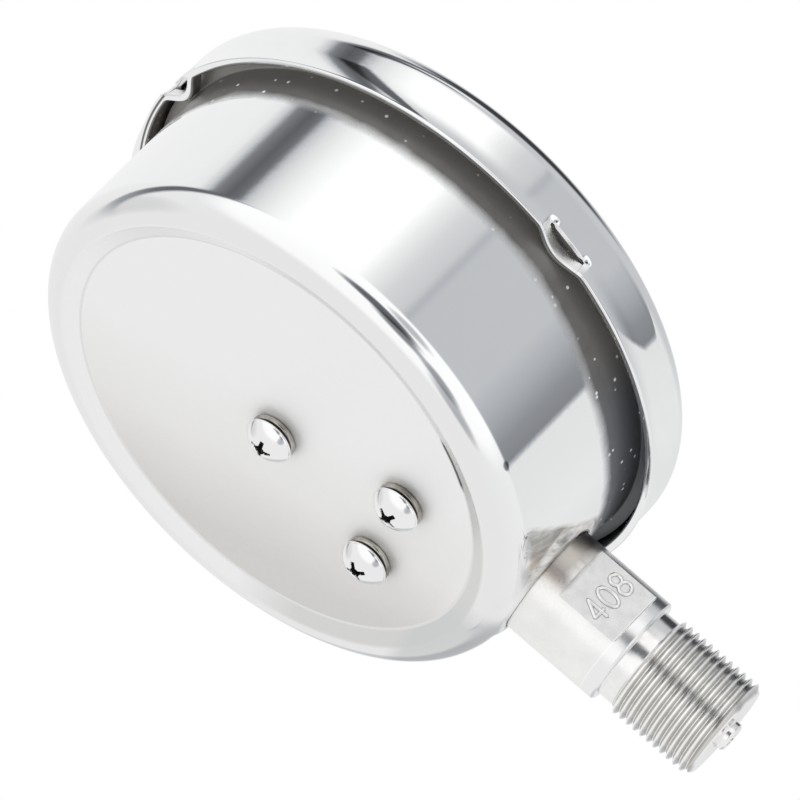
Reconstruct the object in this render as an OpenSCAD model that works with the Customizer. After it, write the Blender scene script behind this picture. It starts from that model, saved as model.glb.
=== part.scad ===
// Oil-filled pressure gauge with a steel case, a turned-over ring and a bottom stem.
// Units are millimetres. The origin is on the stem axis at the top of the thread, +Z is up
// and the dial faces -Y. Inner pieces are drawn in the dial frame: x to the right, y up and
// z forward, measured from the crest of the case's back rim.

/* [Case] */
// Outer diameter of the case wall
case_d = 102; // [101:0.5:102.5]
// Sheet thickness of the case
case_wall = 1; // [0.9:0.05:1.1]
// Outer radius of the corner between the wall and the back
case_corner = 5.2; // [4.8:0.1:5.4]
// Depth of the flat back floor below the crest of the back rim
back_recess = 1.4; // [1.2:0.1:1.6]
// Diameter of the flat back floor
floor_d = 84.4; // [83:0.2:85]
// Diameter of the case flange that the ring grips
flange_d = 106.6; // [106:0.1:107]

/* [Ring and window] */
// Outer diameter of the ring
ring_d = 110; // [109.8:0.1:110.4]
// Sheet thickness of the ring
ring_wall = 1; // [0.9:0.05:1]
// Distance of the ring's rear edge from the back crest
ring_rear = 34.4; // [33.5:0.1:35]
// Total depth from the back crest to the ring's front
ring_front = 47.6; // [47.6:0.1:48]
// Radius of the ring's rounded front corner
ring_round = 5; // [5:0.1:5.1]
// Diameter of the opening in front of the window
opening_d = 95.5; // [93:0.5:97]
// Thickness of the window glass
glass_t = 3; // [2.9:0.05:3]
// Angles of the four pressed-in tongues, seen from the front
tongue_angles = [20, 102, 201, 300]; // [0:1:359]
// Length of a tongue along the edge, in degrees
tongue_span = 10.5; // [9:0.5:12]
// Width of a tongue, measured forward from the rear edge
tongue_w = 2.4; // [2:0.1:2.6]

/* [Stem] */
// Height of the case centre above the thread
dial_z = 73.1; // [73:0.1:73.2]
// Distance of the stem axis in front of the back crest
stem_depth = 15; // [14.9:0.1:15.1]
// Diameter of the round stem bar
bar_d = 21.1; // [20.9:0.1:21.2]
// Width across the two wrench flats
flats_w = 17; // [16:0.1:18]
// Height of a wrench flat
flats_h = 12.7; // [11.5:0.1:13]
// Outside diameter of the thread
thread_d = 20; // [19.9:0.1:20]
// Length of the thread
thread_l = 18.4; // [16:0.2:20]
// Diameter of the pilot nose below the thread
pilot_d = 5.6; // [5:0.1:6]
// Diameter of the pressure bore
bore_d = 3; // [2.8:0.1:3.1]

/* [Back screws] */
// Distance of the two lower screws below the centre
screw_drop = 25.2; // [25:0.1:25.4]
// Half the distance between the two lower screws
screw_side = 10; // [9.8:0.1:10.2]
// Diameter of a screw head
head_d = 9.4; // [9:0.1:9.6]
// Height of a screw head
head_h = 3.4; // [3.2:0.1:3.6]
// Thickness of a split spring washer
washer_t = 1.3; // [1.2:0.1:1.4]

/* [Pressure element] */
// Mean radius of the curved pressure tube
tube_r = 34; // [33.8:0.1:34.2]
// Width of the tube section along the dial axis
tube_w = 14; // [13:0.2:14]
// Thickness of the tube section in the dial plane
tube_t = 5; // [4.8:0.1:5]
// Wall thickness of the tube
tube_wall = 0.6; // [0.5:0.05:0.8]

/* [Movement] */
// Gear module
gear_m = 0.3; // [0.3:0.01:0.3]
// Teeth of the pinion
pinion_n = 10; // [10:1:10]
// Teeth of the full circle that the sector is cut from
sector_n = 150; // [150:1:150]
// Length of the sector's tail
tail_l = 11; // [10.5:0.1:11.2]
// Length of the link between its two eyes
link_l = 14; // [13.5:0.1:14.5]
// Full travel of the pointer in degrees
travel = 270; // [270:1:270]

/* [Dial] */
// Diameter of the dial plate
dial_d = 95; // [94:0.5:97]
// Distance of the dial's rear face from the back crest
dial_depth = 33; // [32.5:0.1:33.2]
// Length of the pointer from its axis to its tip
pointer_l = 38; // [34:0.5:40]
// Angle of the pointer at zero, seen from the front
zero_angle = 225; // [225:1:225]

/* [Hidden] */
$fn = 96;
cut = 0.5;
case_r = case_d / 2;
corner_r = case_r - case_corner;
rim_r = corner_r - 0.4;
floor_r = floor_d / 2;
floor_in = back_recess + case_wall;
flange_z = ring_rear + 3.4;
flange_t = 1;
glass_z = ring_front - ring_wall - glass_t;
gasket_t = glass_z - flange_z - flange_t;
glass_r = 51;
ring_r = ring_d / 2;
arc_r = ring_r - ring_round;
arc_z = ring_front - ring_round;
tongue_gap = 0.3;
slit_w = 0.5;
plug_angle = 60;
plug_depth = 20;

bar_r = bar_d / 2;
shoulder_z = 2.75;
flat_z = 5.1;
seat_z = 22.3;
seat_r = 12.6;
seat_spread = 3.4;
seat_rise = 4.3;
seal_t = 1.2;
seal_r = seat_r - 1.1;
inner_z = seat_z + case_wall + seal_t;
block_top = dial_z - 28;
foot_rear = floor_in + 0.5;
foot_front = 10;
foot_r = 18;
tap_depth = 9;

screw_spots = [[0, 0], [screw_side, -screw_drop], [-screw_side, -screw_drop]];
screw_r = 2.5;
slack = 0.02;

root_angle = 255;
tip_angle = -12;
tube_mid = 15;
tube_span = root_angle - tip_angle;
mid_angle = (root_angle + tip_angle) / 2;
flex_reach = tube_r * sin(tube_span / 2) / (tube_span / 2 * PI / 180);
flex = flex_reach * [cos(mid_angle), sin(mid_angle)];

pinion_pr = gear_m * pinion_n / 2;
sector_pr = gear_m * sector_n / 2;
pressure_angle = 20;
backlash = 0.1;
mesh_angle = -60;
axle_spot = (pinion_pr + sector_pr) * [cos(mesh_angle), sin(mesh_angle)];
sector_turn = travel * pinion_n / sector_n;
tooth_step = 360 / sector_n;
flex_turn = 6.902;
link_lean = 3.713;
tail_mid = axle_spot + [tail_l, 0];
lug_mid = tail_mid + [0, link_l];
tail_end = axle_spot + turned([tail_l, 0], -sector_turn / 2);
lug = flex + turned(lug_mid - flex, -flex_turn / 2);
rivet_r = 0.7;
play = 0.15;

plate_t = 1.5;
rear_z = foot_front;
pillar_h = 8;
front_z = rear_z + plate_t + pillar_h;
gear_z = 14.2;
gear_t = 0.9;
link_z = 15.3;
link_t = 0.6;
post_spots = [[-14, 6.5], [14, -6.5]];
pillar_spots = [[-9.5, -5.5], [9.5, 5.5], [15.25, -26.4]];
spindle_r = 0.7;
spring_in = 2.15;
spring_out = 5.3;
spring_turns = 4.5;
spring_t = 0.12;
spring_z = 17;
spring_h = 0.8;
stud_angle = 300;

// A plane vector turned about the dial axis.
function turned(v, a) = [v[0] * cos(a) - v[1] * sin(a), v[0] * sin(a) + v[1] * cos(a)];

// Involute angle of a pressure angle, in degrees.
function involute(a) = tan(a) * 180 / PI - a;

// Half of the angle that a tooth takes up at radius r.
function half_tooth(pitch_r, r) =
    let(base_r = pitch_r * cos(pressure_angle),
        thick = gear_m * PI / 2 - backlash / 2)
    thick / 2 / pitch_r * 180 / PI + involute(pressure_angle)
    - involute(acos(base_r / max(r, base_r)));

// Outline points of one tooth that points along +X.
function tooth_points(pitch_r, root_r, tip_r) =
    let(radii = [for (i = [0 : 5]) root_r + (tip_r - root_r) * i / 5],
        rising = [for (r = radii) turned([r, 0], -half_tooth(pitch_r, r))])
    concat(rising, [for (i = [5 : -1 : 0]) [rising[i][0], -rising[i][1]]]);

// The same tooth repeated at each of the given angles.
function toothed_edge(pitch_r, root_r, tip_r, angles) =
    [for (a = angles) for (p = tooth_points(pitch_r, root_r, tip_r)) turned(p, a)];

// Moves what follows from the dial frame to the row frame.
module dial_frame() {
    translate([0, stem_depth, dial_z])
        rotate([90, 0, 0])
            children();
}

// A bar with round ends between two plane points.
module round_bar(a, b, w) {
    run = b - a;
    translate(a)
        rotate([0, 0, atan2(run[1], run[0])]) {
            circle(d = w);
            translate([0, -w / 2])
                square([norm(run), w]);
            translate([norm(run), 0])
                circle(d = w);
        }
}

// Half outline of the case as a solid body, inset by g.
module pan_outline(g) {
    top = flange_z + flange_t + (g > 0 ? cut : 0);
    polygon([[0, back_recess + g], [floor_r - g / 4, back_recess + g], [rim_r, g],
             [corner_r, g], [corner_r, top], [0, top]]);
    translate([corner_r, case_corner])
        circle(r = case_corner - g);
    translate([0, case_corner])
        square([case_r - g, top - case_corner]);
}

// The pressed seat around the stem, as a solid body inset by g.
module stem_seat(g) {
    intersection() {
        translate([0, 0, seat_z + g])
            cylinder(h = seat_rise, r1 = seat_r - g, r2 = seat_r - g + seat_spread);
        translate([-40, stem_depth - g - 60, 0])
            cube([80, 60, dial_z]);
    }
}

module case() {
    color([0.8, 0.8, 0.82])
        difference() {
            union() {
                dial_frame()
                    rotate_extrude()
                        intersection() {
                            pan_outline(0);
                            square([case_r, flange_z + flange_t]);
                        }
                dial_frame()
                    translate([0, 0, flange_z])
                        cylinder(h = flange_t, d = flange_d);
                stem_seat(0);
            }
            dial_frame()
                rotate_extrude()
                    intersection() {
                        pan_outline(case_wall);
                        square([case_r - case_wall, flange_z + flange_t + cut]);
                    }
            stem_seat(case_wall);
            cylinder(h = seat_z, r = seat_r + 6);
            cylinder(h = dial_z - 40, r = bar_r + 0.1);
            dial_frame()
                for (s = screw_spots)
                    translate([s[0], s[1], -cut])
                        cylinder(h = 4, r = screw_r + 0.15);
            dial_frame()
                plug_axis()
                    cylinder(h = 20, r = 5, center = true);
        }
}

// Points +Z outward through the case wall at the filling hole.
module plug_axis() {
    rotate([0, 0, plug_angle])
        translate([case_r, 0, plug_depth])
            rotate([0, 90, 0])
                children();
}

module fill_plug() {
    color([0.12, 0.12, 0.12])
        dial_frame() {
            difference() {
                plug_axis()
                    translate([0, 0, -1])
                        cylinder(h = 3, r = 7);
                cylinder(h = 60, r = case_r + slack);
            }
            intersection() {
                plug_axis()
                    translate([0, 0, -3.6])
                        cylinder(h = 2.8, r = 6.4);
                cylinder(h = 60, r = case_r - case_wall - slack);
            }
            plug_axis()
                translate([0, 0, -3])
                    cylinder(h = 4, r = 4.95);
        }
}

// Half outline of the ring: rear edge with a low bead, skirt, rounded corner and lip.
module ring_outline() {
    in_r = ring_r - ring_wall;
    bead = 0.65;
    polygon([[in_r, ring_rear], [in_r + 0.6, ring_rear], [ring_r + bead - 0.2, ring_rear + 0.7],
             [ring_r + bead, ring_rear + 1.4], [ring_r, ring_rear + 3.6], [ring_r, arc_z],
             [in_r, arc_z]]);
    intersection() {
        difference() {
            translate([arc_r, arc_z])
                circle(r = ring_round);
            translate([arc_r, arc_z])
                circle(r = ring_round - ring_wall);
        }
        translate([arc_r, arc_z])
            square(ring_round + 1);
    }
    lip_z = ring_front - ring_wall;
    polygon([[arc_r, lip_z], [arc_r, ring_front], [opening_d / 2 + 0.3, ring_front],
             [opening_d / 2, ring_front - 0.3], [opening_d / 2, lip_z]]);
}

// Outer face of a bowed tongue: [distance of its arc centre from the dial axis, arc radius].
function bow() =
    let(chord_r = ring_r * cos(tongue_span / 2),
        half = ring_r * sin(tongue_span / 2),
        low_r = case_r + tongue_gap + ring_wall,
        rise = chord_r - low_r,
        r = (half * half + rise * rise) / (2 * rise))
    [low_r + r, r];

// The strip of skirt behind a slit, bowed inward until it nearly meets the case wall.
module tongue() {
    intersection() {
        translate([bow()[0], 0, ring_rear + 0.05])
            difference() {
                cylinder(h = tongue_w, r = bow()[1] + ring_wall);
                translate([0, 0, -cut])
                    cylinder(h = tongue_w + 2 * cut, r = bow()[1]);
            }
        cylinder(h = ring_front, r = ring_r - 0.05);
    }
}

// The slit above a tongue and the room that the tongue left in the skirt.
module tongue_slit() {
    translate([bow()[0], 0, ring_rear - 1])
        cylinder(h = 1 + tongue_w + slit_w, r = bow()[1] + ring_wall / 2);
}

module bezel_ring() {
    color([0.82, 0.82, 0.84])
        dial_frame() {
            difference() {
                rotate_extrude()
                    ring_outline();
                for (a = tongue_angles)
                    rotate([0, 0, a])
                        tongue_slit();
            }
            for (a = tongue_angles)
                rotate([0, 0, a])
                    tongue();
        }
}

module window_glass() {
    edge = 0.7;
    color([0.85, 0.93, 0.95, 0.35])
        dial_frame()
            translate([0, 0, glass_z]) {
                cylinder(h = edge, r1 = glass_r - edge, r2 = glass_r);
                translate([0, 0, edge])
                    cylinder(h = glass_t - 2 * edge, r = glass_r);
                translate([0, 0, glass_t - edge])
                    cylinder(h = edge, r1 = glass_r, r2 = glass_r - edge);
            }
}

module window_gasket() {
    color([0.1, 0.1, 0.1])
        dial_frame()
            translate([0, 0, flange_z + flange_t])
                difference() {
                    cylinder(h = gasket_t, r = 52.8);
                    translate([0, 0, -cut])
                        cylinder(h = gasket_t + 2 * cut, r = 48.3);
                }
}

// One cross-recess screw, its head domed toward the back.
module back_screw() {
    under = back_recess - washer_t;
    rim_h = 1.1;
    dome_h = head_h - rim_h;
    dome_r = (pow(head_d / 2, 2) + pow(dome_h, 2)) / 2 / dome_h;
    slot_w = 1.05;
    slot_l = 4.9;
    difference() {
        union() {
            intersection() {
                translate([0, 0, under - head_h])
                    cylinder(h = head_h, d = head_d);
                translate([0, 0, under - head_h + dome_r])
                    sphere(r = dome_r);
            }
            translate([0, 0, under])
                cylinder(h = 7.6, r = screw_r - slack);
        }
        for (a = [0, 90])
            rotate([0, 0, a])
                translate([-slot_l / 2, -slot_w / 2, under - head_h - 1])
                    cube([slot_l, slot_w, 3]);
        translate([0, 0, under - head_h - 1])
            cylinder(h = 3.4, r = 1.2);
    }
}

module back_screws() {
    color([0.75, 0.75, 0.77])
        dial_frame()
            for (s = screw_spots)
                translate(s)
                    back_screw();
}

module spring_washers() {
    color([0.6, 0.6, 0.62])
        dial_frame()
            for (i = [0 : 2])
                translate([screw_spots[i][0], screw_spots[i][1], back_recess - washer_t])
                    rotate([0, 0, 70 + 95 * i])
                        difference() {
                            cylinder(h = washer_t, r = 4.55);
                            translate([0, 0, -cut])
                                cylinder(h = washer_t + 2 * cut, r = 2.65);
                            translate([2, -0.35, -1])
                                rotate([20, 0, 0])
                                    cube([4, 0.7, 4]);
                        }
}

// Outline of the socket's foot, an arch against the case back.
module foot_outline() {
    translate([-foot_r, -30])
        square([2 * foot_r, 30]);
    circle(r = foot_r);
}

module foot_gasket() {
    color([0.75, 0.74, 0.7])
        dial_frame()
            translate([0, 0, floor_in])
                linear_extrude(height = foot_rear - floor_in)
                    difference() {
                        foot_outline();
                        for (s = screw_spots)
                            translate(s)
                                circle(r = screw_r + 0.2);
                    }
}

// Section of the pressure tube grown by g, at its mean radius.
module tube_section(g) {
    half = tube_w / 2 - tube_t / 2;
    translate([tube_r, tube_mid]) {
        square([tube_t + 2 * g, 2 * half], center = true);
        translate([0, half])
            circle(r = tube_t / 2 + g);
        translate([0, -half])
            circle(r = tube_t / 2 + g);
    }
}

// The stem, the block inside the case and the foot behind the movement, in one piece.
module socket() {
    chamfer = 1.2;
    color([0.78, 0.77, 0.75])
        difference() {
            union() {
                translate([0, 0, -thread_l])
                    cylinder(h = chamfer, d1 = thread_d - 2 * chamfer, d2 = thread_d);
                translate([0, 0, chamfer - thread_l])
                    cylinder(h = thread_l - chamfer, d = thread_d);
                cylinder(h = shoulder_z, d = thread_d - 2);
                translate([0, 0, shoulder_z])
                    cylinder(h = 0.4, r1 = bar_r - 0.4, r2 = bar_r);
                translate([0, 0, shoulder_z + 0.4])
                    cylinder(h = inner_z - shoulder_z - 0.4, r = bar_r);
                translate([0, 0, -thread_l - 1.6])
                    cylinder(h = 3, d = pilot_d);
                translate([0, 0, inner_z])
                    cylinder(h = 5, r = seal_r + 0.4);
                translate([-11, stem_depth - 23, inner_z + 4])
                    cube([22, 23 - foot_rear, block_top - inner_z - 4]);
                dial_frame()
                    translate([0, 0, foot_rear])
                        linear_extrude(height = foot_front - foot_rear)
                            foot_outline();
            }
            for (side = [-1, 1])
                translate([side * (flats_w / 2 + 5), 0, flat_z + flats_h / 2])
                    cube([10, 2 * bar_d, flats_h], center = true);
            translate([0, 0, -thread_l - 2])
                cylinder(h = dial_z - tube_r + thread_l + 3.2, d = bore_d);
            dial_frame()
                translate([cos(root_angle) * tube_r, sin(root_angle) * tube_r, tube_mid])
                    rotate([0, 90, 0])
                        cylinder(h = 9, r = 1.4);
            dial_frame() {
                rotate([0, 0, 190])
                    rotate_extrude(angle = 56)
                        translate([tube_r, tube_mid])
                            square([tube_t + 1.4, tube_w + 1.2], center = true);
                rotate([0, 0, 240])
                    rotate_extrude(angle = root_angle + 0.3 - 240)
                        tube_section(0.03);
                for (s = screw_spots)
                    translate([s[0], s[1], floor_in])
                        cylinder(h = tap_depth - floor_in, r = screw_r);
                for (p = pillar_spots)
                    translate([p[0], p[1], 4])
                        cylinder(h = 8, r = 1.1);
                for (p = post_spots)
                    translate([p[0], p[1], 5])
                        cylinder(h = 8, r = 1.25);
            }
        }
}

module socket_gasket() {
    color([0.8, 0.78, 0.7])
        translate([0, 0, seat_z + case_wall])
            difference() {
                cylinder(h = seal_t, r = seal_r);
                translate([0, 0, -cut])
                    cylinder(h = seal_t + 2 * cut, r = bar_r + 0.1);
            }
}

module restrictor_screw() {
    length = 5;
    color([0.75, 0.6, 0.3])
        translate([0, 0, -thread_l + 1])
            difference() {
                cylinder(h = length, r = bore_d / 2 - slack);
                translate([0, 0, -cut])
                    cylinder(h = length + 2 * cut, r = 0.3);
                translate([-2, -0.25, -cut])
                    cube([4, 0.5, 1.1 + cut]);
            }
}

module bourdon_tube() {
    color([0.72, 0.7, 0.66])
        dial_frame()
            rotate([0, 0, tip_angle])
                rotate_extrude(angle = tube_span)
                    difference() {
                        tube_section(0);
                        tube_section(-tube_wall);
                    }
}

module tube_tip() {
    cap_span = 11;
    cap_start = tip_angle - 7;
    color([0.7, 0.7, 0.7])
        dial_frame()
            difference() {
                union() {
                    rotate([0, 0, cap_start])
                        rotate_extrude(angle = cap_span)
                            translate([tube_r - 3.4, tube_mid - 8])
                                square([6.8, 16]);
                    translate([0, 0, gear_z])
                        linear_extrude(height = gear_t) {
                            translate(lug)
                                circle(r = 1.7);
                            polygon([lug + [-0.3, 1.67], [30.9, -4.9], [30.1, -9.6],
                                     lug + [-0.2, -1.69]]);
                        }
                }
                rotate([0, 0, tip_angle - 0.1])
                    rotate_extrude(angle = cap_span)
                        tube_section(0.03);
                translate([lug[0], lug[1], gear_z - cut])
                    cylinder(h = 2, r = rivet_r);
            }
}

// A rivet that holds one eye of the link.
module rivet() {
    cylinder(h = link_z + link_t + 0.2 - gear_z, r = rivet_r);
    translate([0, 0, link_z + link_t + 0.2 - gear_z])
        cylinder(h = 0.6, r = 1.35);
}

module tip_pin() {
    color([0.8, 0.7, 0.4])
        dial_frame()
            translate([lug[0], lug[1], gear_z])
                rivet();
}

module tail_pin() {
    color([0.8, 0.7, 0.4])
        dial_frame()
            translate([tail_end[0], tail_end[1], gear_z])
                rivet();
}

module link() {
    low_eye = lug + turned([0, -link_l], link_lean);
    color([0.8, 0.7, 0.4])
        dial_frame()
            translate([0, 0, link_z])
                linear_extrude(height = link_t)
                    difference() {
                        union() {
                            round_bar(lug, low_eye, 1.8);
                            translate(lug)
                                circle(r = 1.6);
                            translate(low_eye)
                                circle(r = 1.7);
                        }
                        translate(lug)
                            circle(r = rivet_r + 0.04);
                        translate(low_eye)
                            circle(r = rivet_r + play);
                    }
}

// Plane outline of the sector: hub, toothed rim, two arms and the tail.
module sector_outline() {
    root_r = sector_pr - 1.25 * gear_m;
    tip_r = sector_pr + 0.55 * gear_m;
    centre_line = mesh_angle + 180;
    rim_in = root_r - 2.2;
    low = centre_line - 10.4 * tooth_step;
    high = centre_line + 3.4 * tooth_step;
    angles = [for (k = [-10 : 2]) centre_line + (k + 0.5) * tooth_step];
    inner = [for (i = [0 : 24]) turned([rim_in, 0], high + (low - high) * i / 24)];
    polygon(concat([turned([root_r, 0], low)], toothed_edge(sector_pr, root_r, tip_r, angles),
                   [turned([root_r, 0], high)], inner));
    circle(r = 3);
    for (a = [low + 4, high - 4])
        round_bar([0, 0], turned([rim_in + 0.8, 0], a), 1.5);
    round_bar([0, 0], tail_end - axle_spot, 3);
}

module sector_gear() {
    color([0.82, 0.7, 0.38])
        dial_frame()
            difference() {
                translate([axle_spot[0], axle_spot[1], gear_z])
                    linear_extrude(height = gear_t)
                        sector_outline();
                translate([axle_spot[0], axle_spot[1], gear_z - cut])
                    cylinder(h = gear_t + 2 * cut, r = 1);
                translate([tail_end[0], tail_end[1], gear_z - cut])
                    cylinder(h = gear_t + 2 * cut, r = rivet_r);
            }
}

// A turned arbor with a fine pivot at each end, running between the two plates.
module pivots(pivot_r) {
    translate([0, 0, rear_z + 0.2])
        cylinder(h = front_z + plate_t - rear_z - 0.4, r = pivot_r);
}

module sector_arbor() {
    color([0.72, 0.72, 0.74])
        dial_frame()
            translate([axle_spot[0], axle_spot[1], 0]) {
                pivots(0.5);
                translate([0, 0, rear_z + plate_t + 0.1])
                    cylinder(h = pillar_h - 0.2, r = 1);
                translate([0, 0, gear_z - 1])
                    cylinder(h = 1, r = 2);
            }
}

module pinion_spindle() {
    root_r = pinion_pr - 0.8 * gear_m;
    tip_r = pinion_pr + gear_m;
    teeth_h = 2.1;
    angles = [for (k = [0 : pinion_n - 1]) mesh_angle + 360 / pinion_n * k];
    color([0.72, 0.72, 0.74])
        dial_frame() {
            translate([0, 0, rear_z + 0.2])
                cylinder(h = 2, r = 0.45);
            translate([0, 0, rear_z + plate_t + 0.1])
                cylinder(h = pillar_h - 0.2, r = 1);
            translate([0, 0, front_z - 1])
                cylinder(h = 38.2 - front_z + 1, r = spindle_r);
            translate([0, 0, gear_z - (teeth_h - gear_t) / 2])
                linear_extrude(height = teeth_h)
                    polygon(toothed_edge(pinion_pr, root_r, tip_r, angles));
        }
}

module hairspring() {
    count = 130;
    ends = [for (i = [0 : count]) i / count];
    inner = [for (f = ends) spiral_point(f, -spring_t / 2)];
    outer = [for (i = [count : -1 : 0]) spiral_point(i / count, spring_t / 2)];
    color([0.35, 0.4, 0.55])
        dial_frame()
            translate([0, 0, spring_z])
                linear_extrude(height = spring_h)
                    polygon(concat(inner, outer));
}

// A point of the hairspring at fraction f of its length, offset across it by w.
function spiral_point(f, w) =
    let(r = spring_in + (spring_out - spring_in) * f + w,
        a = stud_angle - 360 * spring_turns * (1 - f))
    r * [cos(a), sin(a)];

module hairspring_collet() {
    color([0.82, 0.7, 0.38])
        dial_frame()
            translate([0, 0, spring_z - 0.2])
                difference() {
                    cylinder(h = spring_h + 0.4, r = 2);
                    translate([0, 0, -cut])
                        cylinder(h = 3, r = 1);
                }
}

module hairspring_stud() {
    color([0.82, 0.7, 0.38])
        dial_frame()
            rotate([0, 0, stud_angle])
                translate([spring_out + 0.4, 0, spring_z - 0.3])
                    difference() {
                        cylinder(h = front_z + 1 - spring_z + 0.3, r = 0.75);
                        translate([-0.4 - spring_t, -1, 0.2])
                            cube([2 * spring_t, 2, spring_h + 0.2]);
                    }
}

// Outline of a movement plate, with lobes for the three pillars.
module movement_outline() {
    round_bar([0, 0], axle_spot, 13);
    round_bar(pillar_spots[0], pillar_spots[1], 7.4);
    round_bar(axle_spot, pillar_spots[2], 7.4);
}

module movement_rear_plate() {
    color([0.82, 0.7, 0.38])
        dial_frame()
            translate([0, 0, rear_z])
                linear_extrude(height = plate_t)
                    difference() {
                        movement_outline();
                        circle(r = 0.5);
                        translate(axle_spot)
                            circle(r = 0.55);
                        for (p = pillar_spots)
                            translate(p)
                                circle(r = 1.15);
                    }
}

module movement_front_plate() {
    color([0.82, 0.7, 0.38])
        dial_frame()
            translate([0, 0, front_z])
                linear_extrude(height = plate_t)
                    difference() {
                        movement_outline();
                        circle(r = spindle_r + 0.05);
                        translate(axle_spot)
                            circle(r = 0.55);
                        for (p = pillar_spots)
                            translate(p)
                                circle(r = 1.15);
                        rotate([0, 0, stud_angle])
                            translate([spring_out + 0.4, 0])
                                circle(r = 0.77);
                    }
}

module movement_pillars() {
    color([0.78, 0.68, 0.4])
        dial_frame()
            for (p = pillar_spots)
                translate([p[0], p[1], rear_z + plate_t])
                    difference() {
                        cylinder(h = pillar_h, r = 2.2);
                        translate([0, 0, -cut])
                            cylinder(h = pillar_h + 2 * cut, r = 1.15);
                    }
}

module movement_screws() {
    top = front_z + plate_t;
    color([0.72, 0.72, 0.74])
        dial_frame()
            for (p = pillar_spots)
                translate(p)
                    difference() {
                        union() {
                            translate([0, 0, 4.5])
                                cylinder(h = top - 4.5, r = 1.1 - slack);
                            translate([0, 0, top])
                                cylinder(h = 1.4, r = 2);
                        }
                        translate([-3, -0.25, top + 0.7])
                            cube([6, 0.5, 1]);
                    }
}

module dial_plate() {
    color([0.95, 0.95, 0.93])
        dial_frame()
            translate([0, 0, dial_depth])
                linear_extrude(height = 0.8)
                    difference() {
                        circle(d = dial_d);
                        circle(r = 3);
                        for (p = post_spots)
                            translate(p)
                                circle(r = 1.15);
                        translate(stop_spot())
                            circle(r = 0.6);
                    }
}

module dial_posts() {
    color([0.78, 0.68, 0.4])
        dial_frame()
            for (p = post_spots)
                translate(p)
                    difference() {
                        union() {
                            translate([0, 0, foot_front])
                                cylinder(h = dial_depth - foot_front, r = 2);
                            translate([0, 0, 5.5])
                                cylinder(h = 5, r = 1.25 - slack);
                        }
                        translate([0, 0, dial_depth - 6])
                            cylinder(h = 7, r = 1);
                    }
}

module dial_screws() {
    top = dial_depth + 0.8;
    color([0.2, 0.2, 0.2])
        dial_frame()
            for (p = post_spots)
                translate(p)
                    difference() {
                        union() {
                            translate([0, 0, top - 5])
                                cylinder(h = 5, r = 1 - slack);
                            translate([0, 0, top])
                                cylinder(h = 1.1, r = 1.9);
                        }
                        translate([-3, -0.25, top + 0.55])
                            cube([6, 0.5, 1]);
                    }
}

// Plane position of the stop pin, beside the pointer at zero.
function stop_spot() = turned([30, 1.8], zero_angle);

module stop_pin() {
    color([0.3, 0.3, 0.3])
        dial_frame()
            translate(stop_spot())
                translate([0, 0, dial_depth - 0.4]) {
                    cylinder(h = 1.2, r = 0.58);
                    translate([0, 0, 1.2])
                        cylinder(h = 3.2, r = 0.7);
                }
}

module pointer() {
    plate_z = 36;
    color([0.08, 0.08, 0.08])
        dial_frame()
            translate([0, 0, plate_z])
                rotate([0, 0, zero_angle])
                    difference() {
                        linear_extrude(height = 0.5) {
                            polygon([[0, -2], [pointer_l - 4, -0.9], [pointer_l, 0],
                                     [pointer_l - 4, 0.9], [0, 2]]);
                            circle(r = 3.6);
                            round_bar([0, 0], [-13, 0], 3);
                            translate([-13, 0])
                                circle(r = 3);
                        }
                        translate([0, 0, -cut])
                            cylinder(h = 0.5 + 2 * cut, r = 1.6);
                    }
}

module pointer_hub() {
    color([0.82, 0.7, 0.38])
        dial_frame()
            difference() {
                union() {
                    translate([0, 0, 35])
                        cylinder(h = 1, r = 2.6);
                    translate([0, 0, 36])
                        cylinder(h = 1, r = 1.6);
                    translate([0, 0, 36.5])
                        cylinder(h = 0.5, r = 2.1);
                    translate([0, 0, 37])
                        cylinder(h = 0.8, r = 1.4);
                }
                translate([0, 0, 34])
                    cylinder(h = 5, r = spindle_r);
            }
}

case();
bezel_ring();
window_glass();
window_gasket();
fill_plug();
back_screws();
spring_washers();
foot_gasket();
socket();
socket_gasket();
restrictor_screw();
bourdon_tube();
tube_tip();
tip_pin();
link();
tail_pin();
sector_gear();
sector_arbor();
pinion_spindle();
hairspring();
hairspring_collet();
hairspring_stud();
movement_rear_plate();
movement_front_plate();
movement_pillars();
movement_screws();
dial_plate();
dial_posts();
dial_screws();
stop_pin();
pointer();
pointer_hub();
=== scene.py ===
"""Looks of the oil-filled pressure gauge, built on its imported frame.

Lengths are millimetres unless a comment says metres. The dial frame is x right, y up and
depth forward, measured from the crest of the case's back rim.
"""

import math

import bmesh
import bpy
import numpy as np
from mathutils import Matrix, Vector


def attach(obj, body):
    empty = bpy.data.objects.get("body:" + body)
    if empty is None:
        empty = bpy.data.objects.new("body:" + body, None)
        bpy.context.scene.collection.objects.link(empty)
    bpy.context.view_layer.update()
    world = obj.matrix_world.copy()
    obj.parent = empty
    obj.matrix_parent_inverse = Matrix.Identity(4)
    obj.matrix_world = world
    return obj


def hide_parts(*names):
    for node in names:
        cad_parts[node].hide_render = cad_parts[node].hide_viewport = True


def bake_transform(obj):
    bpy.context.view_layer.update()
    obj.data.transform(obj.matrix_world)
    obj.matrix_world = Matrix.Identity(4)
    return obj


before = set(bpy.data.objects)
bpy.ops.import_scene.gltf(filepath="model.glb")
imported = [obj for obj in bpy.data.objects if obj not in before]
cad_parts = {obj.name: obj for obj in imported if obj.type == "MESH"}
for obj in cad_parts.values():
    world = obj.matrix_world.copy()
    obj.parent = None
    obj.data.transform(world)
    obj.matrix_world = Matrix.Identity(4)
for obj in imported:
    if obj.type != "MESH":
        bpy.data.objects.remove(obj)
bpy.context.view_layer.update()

MM = 0.001
SHARP = 32.0  # degrees by which an edge turns before it is shaded as an edge
DIAL_Z = 73.1
STEM_DEPTH = 15.0

CASE_R = 51.0
CORNER_R = 5.2
SHEET = 1.0

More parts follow.
